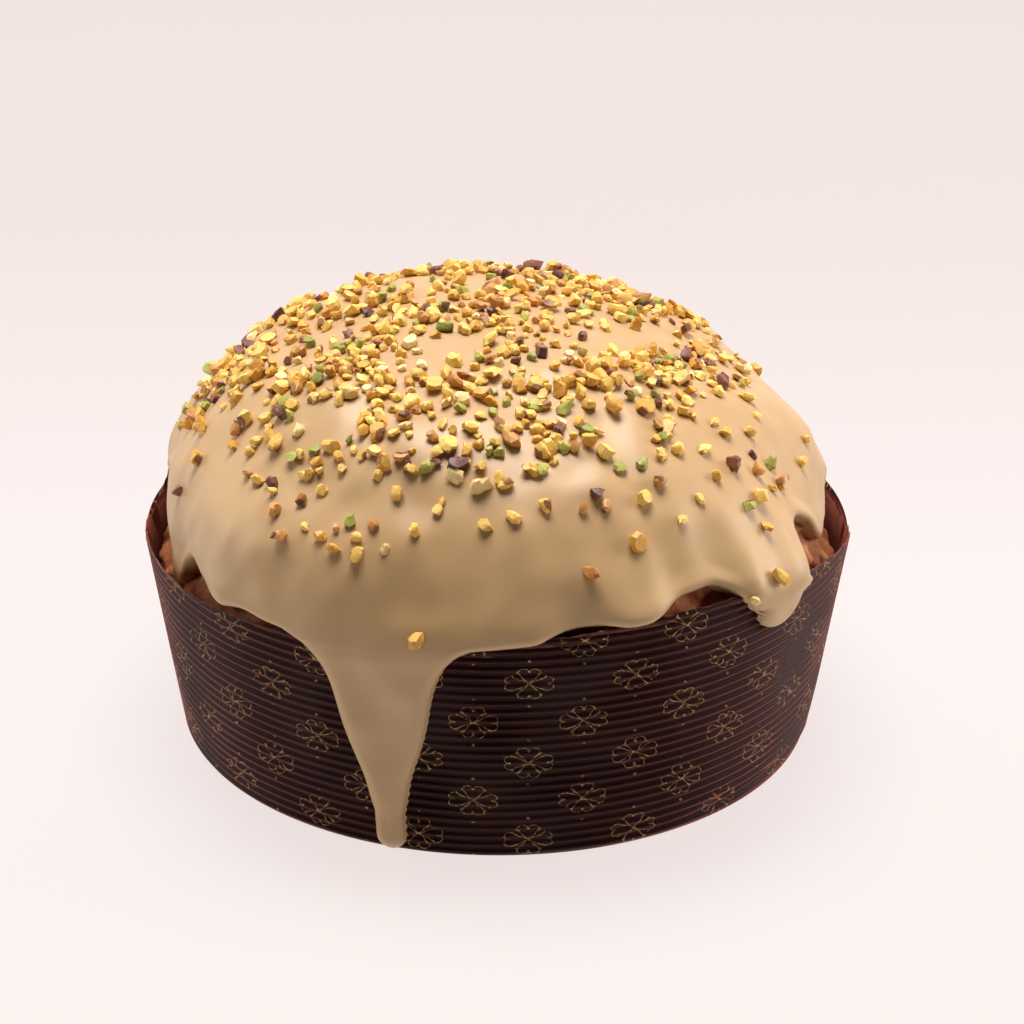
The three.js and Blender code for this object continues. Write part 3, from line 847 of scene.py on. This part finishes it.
def glaze_skin():
    """Poured glaze as one closed skin with its drips.

    Thickness = full * sqrt(1 - (1 - inside / nose) squared), a quarter ellipse in from the edge,
    plus soft ripples. Outside the edge it dives into the bread or the paper and is cut off there.
    A drip's columns draw together by its half width at each height, and round off to its tip.
    """
    azimuth, centre, across, follow = glaze_columns()
    columns = len(azimuth)
    edge = edge_height(azimuth)
    drape_top = np.maximum(rim_height(azimuth) + 14, edge + 9)
    up = (drape_top - DOME_HEIGHT) / (CROWN_HEIGHT - DOME_HEIGHT)
    low_elevation = np.degrees(np.arcsin(np.clip(up, 0, 0.98)))
    crown_share = np.linspace(0, 1, CROWN_ROWS + 1)[1:, None]
    elevation = 90 - (90 - low_elevation) * crown_share
    crown = DOME_HEIGHT + (CROWN_HEIGHT - DOME_HEIGHT) * np.sin(np.radians(elevation))
    sheet_end = edge - BELOW_EDGE
    sheet_share = np.linspace(0, 1, SHEET_ROWS + 1)[1:, None] ** 0.85
    sheet = drape_top + (sheet_end - drape_top) * sheet_share
    lowest = sheet_end - 2.0
    for drip in DRIPS:
        on = (centre == drip[0]) & (follow > 0)
        near = smooth((drip[-1] + 3.2 - np.abs(across)) / 1.2) * on
        lowest = lowest + (drip[1] - 0.6 - lowest) * near
    drip_share = np.sin(0.5 * np.pi * np.linspace(0, 1, DRIP_ROWS + 1)[1:, None])
    tongue = sheet_end + (lowest - sheet_end) * drip_share
    height = np.concatenate([crown, sheet, tongue])
    a = np.broadcast_to(azimuth, height.shape).copy()
    for drip in DRIPS:
        on = (centre == drip[0]) & (follow > 0)
        reach = drip[-1]
        half = drip_half_width(drip, a, height)
        rounded = np.sqrt(1 - np.clip(1 - (height - drip[1]) / drip[2], 0, 0.995) ** 2)
        narrow = np.clip(half * rounded / reach, 0.1, 1)
        within = np.clip(across, -reach, reach)
        moved = within * narrow + across - within
        a = np.where(on, drip[0] + np.degrees(moved / wall_radius(RIM_HEIGHT)), a)
    inside = glaze_inside(a, height)
    rim = rim_height(a)
    drape = pour(a) * smooth((rim + 8 - height) / 8)
    tongued = smooth((rim - 2 - height) / 8)
    nose = EDGE_NOSE + (DRIP_NOSE - EDGE_NOSE) * tongued
    full = np.full(a.shape, GLAZE)
    for drip in DRIPS:
        on_drip = smooth(drip_inside(drip, a, height) / drip[2])
        fading = smooth((np.maximum(drip[1] + 12, rim + 3) - height) / 8)
        full = full + (drip[6] - GLAZE) * on_drip * fading
    round_off = np.sqrt(1 - (1 - np.clip((inside + 0.2) / nose, 0, 1)) ** 2)
    bed = glaze_place(a, height, GAP)
    flow = 0.85 * ripple(bed * (1, 1, 0.8), 32, 31) + 0.38 * ripple(bed, 15, 32)
    flow = flow + 0.16 * ripple(bed * (1, 1, 0.7), 9, 33)
    flow = flow * smooth(inside / 6)
    dive = DIVE_IN_BREAD + (DIVE_IN_PAPER - DIVE_IN_BREAD) * drape
    outer_skin = (GAP + full + flow) * round_off - dive * smooth((-0.05 - inside) / 0.3)
    inner_skin = -0.3 - (dive + 0.2) * smooth((1.5 - inside) / 2.3)
    outer = glaze_place(a, height, outer_skin)
    inner_at = np.concatenate([INNER_CROWN_ROWS, np.arange(INNER_FROM, len(height))])
    inner = glaze_place(a, height, inner_skin)[inner_at]

    kept_corner = inside > -0.9
    kept = kept_corner | np.roll(kept_corner, -1, 1)
    kept = kept[:-1] | kept[1:]
    rows = len(height)
    cells = grid_cells(rows, columns).reshape(rows - 1, columns, 4)
    outer_cells = cells[kept]
    inner_start = rows * columns
    inner_rows = len(inner_at)
    whole = np.ones((len(INNER_CROWN_ROWS), columns), bool)
    inner_kept = np.concatenate([whole, kept[INNER_FROM:]])
    inner_cells = grid_cells(inner_rows, columns, inner_start)
    inner_cells = inner_cells.reshape(inner_rows - 1, columns, 4)[inner_kept][:, ::-1]

    # Strip that joins the two sheets: along each cell side that only one kept cell has
    def inner_of(index):
        """Point of the inner sheet behind a point of the outer one."""
        row, column = index // columns, index % columns
        return inner_start + (row - INNER_FROM + len(INNER_CROWN_ROWS)) * columns + column

    right_open = kept & ~np.roll(kept, -1, 1)
    left_open = kept & ~np.roll(kept, 1, 1)
    below = np.concatenate([kept[1:], np.zeros((1, columns), bool)])
    low_open = kept & ~below
    above = np.concatenate([np.ones((1, columns), bool), kept[:-1]])
    high_open = kept & ~above
    sides = np.concatenate(
        [
            cells[left_open][:, [0, 1]],
            cells[low_open][:, [1, 2]],
            cells[right_open][:, [2, 3]],
            cells[high_open][:, [3, 0]],
        ]
    )
    strip = np.stack([sides[:, 1], sides[:, 0], inner_of(sides[:, 0]), inner_of(sides[:, 1])], -1)
    tops = inner_start + inner_rows * columns
    apex = CROWN_HEIGHT + GAP + GLAZE
    points = np.concatenate(
        [
            outer.reshape(-1, 3),
            inner.reshape(-1, 3),
            [(float(drift(apex)), 0, apex), (float(drift(CROWN_HEIGHT)), 0, CROWN_HEIGHT - 0.3)],
        ]
    )
    ring = np.arange(columns)
    faces = [outer_cells, inner_cells, strip, fan(tops, ring),
             fan(tops + 1, inner_start + ring)[:, ::-1]]
    used = np.zeros(len(points), bool)
    for group in faces:
        used[group.ravel()] = True
    number = np.cumsum(used) - 1
    faces = [number[group] for group in faces]
    return mesh_piece(
        "glaze_poured", points[used], [faces], [glaze_material()], ["glaze_with_nuts"]
    )


def chip_points(rng, sizes):
    """Chips of the given half sizes, as (chips, points, 3), and their directions.

    In direction u the surface is at (sum of max(u . n / h, 0) ** 12) ** (-1 / 12) over the chip's
    faces, with normal n at distance h: six sides, and random cuts nearer the middle.
    """
    polar = np.radians(np.arange(1, CHIP_RINGS + 1) * 180 / (CHIP_RINGS + 1))[:, None]
    turn = np.radians(np.arange(CHIP_SIDES) * 360 / CHIP_SIDES)[None]
    ring = np.stack(
        np.broadcast_arrays(np.sin(polar) * np.sin(turn), -np.sin(polar) * np.cos(turn),
                            np.cos(polar)), -1
    ).reshape(-1, 3)
    ways = np.concatenate([ring, [(0, 0, 1), (0, 0, -1)]])
    count = len(sizes)
    cuts = rng.normal(size=(count, CHIP_CUTS, 3))
    cuts /= np.linalg.norm(cuts, axis=2, keepdims=True)
    reach = np.linalg.norm(cuts * sizes[:, None], axis=2) * rng.uniform(0.42, 0.9, cuts.shape[:2])
    axes = np.concatenate([np.eye(3), -np.eye(3)])
    normals = np.concatenate([np.broadcast_to(axes, (count, 6, 3)), cuts], 1)
    walls = np.concatenate([sizes, sizes], 1) * rng.uniform(0.85, 1.1, (count, 6))
    walls = np.concatenate([walls, reach], 1)
    facing = np.maximum(np.einsum("pk,cnk->cpn", ways, normals), 0) / walls[:, None]
    away = (facing**12).sum(-1) ** (-1 / 12)
    away = away * rng.uniform(0.9, 1.1, away.shape)
    return ways * away[..., None], ways


def chips_piece(name, rng, places, normals, lengths, material, peeled):
    """Chips lying on the glaze as one mesh, with a tint for each and its skin on one side."""
    count = len(places)
    flat = rng.uniform(size=count)
    ratios = [np.full(count, 0.56), 0.25 + 0.16 * rng.uniform(size=count), 0.18 + 0.16 * flat]
    sizes = lengths[:, None] * np.stack(ratios, 1) * rng.uniform(0.9, 1.1, (count, 3))
    shapes, ways = chip_points(rng, sizes)
    upward = normals + CHIP_TILT * rng.normal(size=(count, 3))
    upward /= np.linalg.norm(upward, axis=1, keepdims=True)
    side = np.cross(upward, rng.normal(size=(count, 3)))
    side /= np.linalg.norm(side, axis=1, keepdims=True)
    turned = np.stack([side, np.cross(upward, side), upward], 1)
    middles = places + normals * sizes[:, 2:] * 0.72
    points = np.einsum("cpk,ckj->cpj", shapes, turned) + middles[:, None]
    each = len(ways)
    start = (np.arange(count) * each)[:, None, None]
    rings = np.arange(CHIP_SIDES)
    last = (CHIP_RINGS - 1) * CHIP_SIDES + rings
    quads = (grid_cells(CHIP_RINGS, CHIP_SIDES)[None] + start).reshape(-1, 4)
    ends = np.concatenate([fan(each - 2, rings), fan(each - 1, last)[:, ::-1]])
    ends = (ends[None] + start).reshape(-1, 3)
    mesh = mesh_piece(name, points.reshape(-1, 3), [[quads, ends]], [material]).data
    tint = mesh.attributes.new("tint", "FLOAT", "POINT")
    tint.data.foreach_set("value", np.repeat(rng.uniform(0, 0.7, count), each))
    skin_side = rng.normal(size=(count, 3))
    skin_side /= np.linalg.norm(skin_side, axis=1, keepdims=True)
    covered = np.einsum("pk,ck->cp", ways, skin_side)
    has_skin = rng.uniform(size=count) < peeled
    peel = smooth((covered - 0.35) / 0.3) * has_skin[:, None]
    skinned = mesh.attributes.new("peel", "FLOAT", "POINT")
    skinned.data.foreach_set("value", peel.ravel())
    mesh.set_sharp_from_angle(angle=math.radians(27))


def glaze_tree(piece):
    """Search tree of the glaze, in metres."""
    mesh = piece.data
    corners = [vertex.co for vertex in mesh.vertices]
    return BVHTree.FromPolygons(corners, [list(face.vertices) for face in mesh.polygons])


def seen_place(tree, camera, pixel):
    """Place and normal in mm where the line of sight through a pixel of the photograph lands."""
    x = (pixel[0] - PICTURE / 2) / FOCAL_PIXELS
    y = (PICTURE / 2 - pixel[1]) / FOCAL_PIXELS
    way = (camera.matrix_world.to_3x3() @ Vector((x, y, -1))).normalized()
    place, normal, _, _ = tree.ray_cast(camera.matrix_world.translation, way)
    return None if place is None else (np.array(place) / MM, np.array(normal))


def crown_places(tree, rng):
    """Even but random places over the crown: drops from above, kept where the scatter is dense.

    The share kept falls off smoothly at CROWN_EDGE from the middle, down to STRAY_SHARE, and a
    soft ripple makes clusters and bare patches. Nuts keep about NUT_SPACING from each other.
    """
    places, normals = [], []
    for _ in range(CROWN_DROPS):
        spot = rng.uniform(-DROP_REACH, DROP_REACH, 2)
        chance = rng.uniform()
        hit, normal, _, _ = tree.ray_cast(Vector((*spot * MM, 0.3)), Vector((0, 0, -1)))
        if hit is None or hit.z < DROP_LOWEST * MM:
            continue
        place = np.array(hit) / MM
        far = math.hypot(place[0] + CROWN_LEFT, place[1])
        dense = float(smooth((CROWN_EDGE - far) / CROWN_FADE))
        kept = dense * (1 - STRAY_SHARE) + STRAY_SHARE
        clusters = float(ripple(place[None], CLUSTER_SIZE, 51)[0])
        if chance > kept * (0.62 + 0.38 * clusters):
            continue
        spacing = NUT_SPACING * (1 - 0.2 * clusters)
        if places and np.min(np.linalg.norm(np.array(places) - place, axis=1)) < spacing:
            continue
        places.append(place)
        normals.append(np.array(normal))
    return np.array(places), np.array(normals)


def chopped_nuts(glaze, camera):
    """Pistachio chips, one piece for each kind: a scatter over the crown, and single ones below."""
    rng = np.random.default_rng(7)
    tree = glaze_tree(glaze)
    places, normals = crown_places(tree, rng)
    kinds = rng.choice(len(NUT_KINDS), len(places), p=[kind[4] for kind in NUT_KINDS])
    lengths = SHORTEST_CHIP + LONGER_BY * rng.beta(2.0, 2.2, len(places))
    letters = [kind[0][0] for kind in NUT_KINDS]
    single = [(seen_place(tree, camera, nut[:2]), *nut[2:]) for nut in SINGLE_NUTS]
    single = [nut for nut in single if nut[0] is not None]
    places = np.concatenate([places, [nut[0][0] for nut in single]])
    normals = np.concatenate([normals, [nut[0][1] for nut in single]])
    kinds = np.concatenate([kinds, [letters.index(nut[1]) for nut in single]])
    lengths = np.concatenate([lengths, [nut[2] for nut in single]])
    for number, (name, light, dark, skin, _, peeled) in enumerate(NUT_KINDS):
        own = kinds == number
        material = nut_material("chopped_pistachio_" + name, light, dark, skin)
        chips_piece("nuts_" + name, rng, places[own], normals[own], lengths[own], material, peeled)


def photo_camera():
    """Camera at the photograph's viewing angle: pitched down, with a small roll about its axis."""
    data = bpy.data.cameras.new("photo_camera")
    data.sensor_width = SENSOR
    data.lens = FOCAL_PIXELS / PICTURE * SENSOR
    data.clip_end = 50.0
    camera = bpy.data.objects.new("photo_camera", data)
    bpy.context.scene.collection.objects.link(camera)
    tilt = Matrix.Rotation(math.pi / 2 - CAMERA_PITCH, 4, "X")
    roll = Matrix.Rotation(CAMERA_ROLL, 4, "Z")
    camera.matrix_world = Matrix.Translation(Vector(CAMERA_PLACE) * MM) @ tilt @ roll
    bpy.context.scene.camera = camera
    bpy.context.view_layer.update()
    return camera


def soft_light(name, place, target, size, power, tint):
    """Square soft box, its place and target in metres."""
    data = bpy.data.lights.new(name, "AREA")
    data.shape = "RECTANGLE"
    data.size, data.size_y = size
    data.energy = power
    data.color = colour(tint)[:3]
    light = bpy.data.objects.new(name, data)
    bpy.context.scene.collection.objects.link(light)
    light.location = place
    light.rotation_euler = (Vector(target) - Vector(place)).to_track_quat("-Z", "Y").to_euler()


def studio():
    """White room with a soft box overhead and a strip at each side, and a pale floor that glows as
    painted light: brighter in front, dimmer further back, filling the shadows on it and lighting
    the cake from below.
    """
    world = bpy.data.worlds.new("white_room")
    bpy.context.scene.world = world
    world.use_nodes = True
    tree = world.node_tree
    tree.nodes.clear()
    way = add(tree, "ShaderNodeTexCoord").outputs["Generated"]
    split = add(tree, "ShaderNodeSeparateXYZ", {0: way})
    reach = {1: -0.2, 2: 0.6, 3: 0.0, 4: 0.8}
    behind = add(tree, "ShaderNodeMapRange", {0: split.outputs[1], **reach})
    sky = add(tree, "ShaderNodeBackground", {"Color": colour("FFF4F3"), "Strength": behind})
    add(tree, "ShaderNodeOutputWorld", {"Surface": sky})
    soft_light("overhead_box", (-0.05, 0.36, 1.9), (0, 0, 0.05), (1.3, 1.0), 60.0, "FFF8F4")
    soft_light("left_strip", (-1.0, 0.15, 0.3), (0, 0, 0.05), (0.5, 0.7), 3.2, "FFF8F4")
    soft_light("right_strip", (1.0, 0.15, 0.3), (0, 0, 0.05), (0.5, 0.7), 7.0, "FFF4EE")
    scene = bpy.context.scene
    scene.view_settings.view_transform = "Standard"

    mesh = bpy.data.meshes.new("floor")
    half = 6.0
    mesh.from_pydata([(-half, -half, 0), (half, -half, 0), (half, half, 0), (-half, half, 0)], [],
                     [(0, 1, 2, 3)])
    floor = bpy.data.objects.new("floor", mesh)
    scene.collection.objects.link(floor)
    # Painted light: the floor's glow is brighter near the front and dimmer further back, and it
    # fills the shadows cast on the floor and lights the cake from below.
    material, tree, place = new_material("pale_table_glowing")
    back = add(tree, "ShaderNodeSeparateXYZ", {0: place}).outputs[1]
    far = add(tree, "ShaderNodeMapRange", {0: back, 1: 0.05, 2: 0.4})
    glow = add(tree, "ShaderNodeValToRGB", {0: far}, [(0.0, "E9DEDB"), (1.0, "DDCDCA")])
    lit = {"Emission Color": glow, "Emission Strength": 1.0}
    finish_material(material, tree, {"Base Color": colour("4A4E4F"), "Roughness": 0.9, **lit})
    mesh.materials.append(material)


camera = photo_camera()
studio()
paper_case()
bread_crust()
glaze = glaze_skin()
chopped_nuts(glaze, camera)
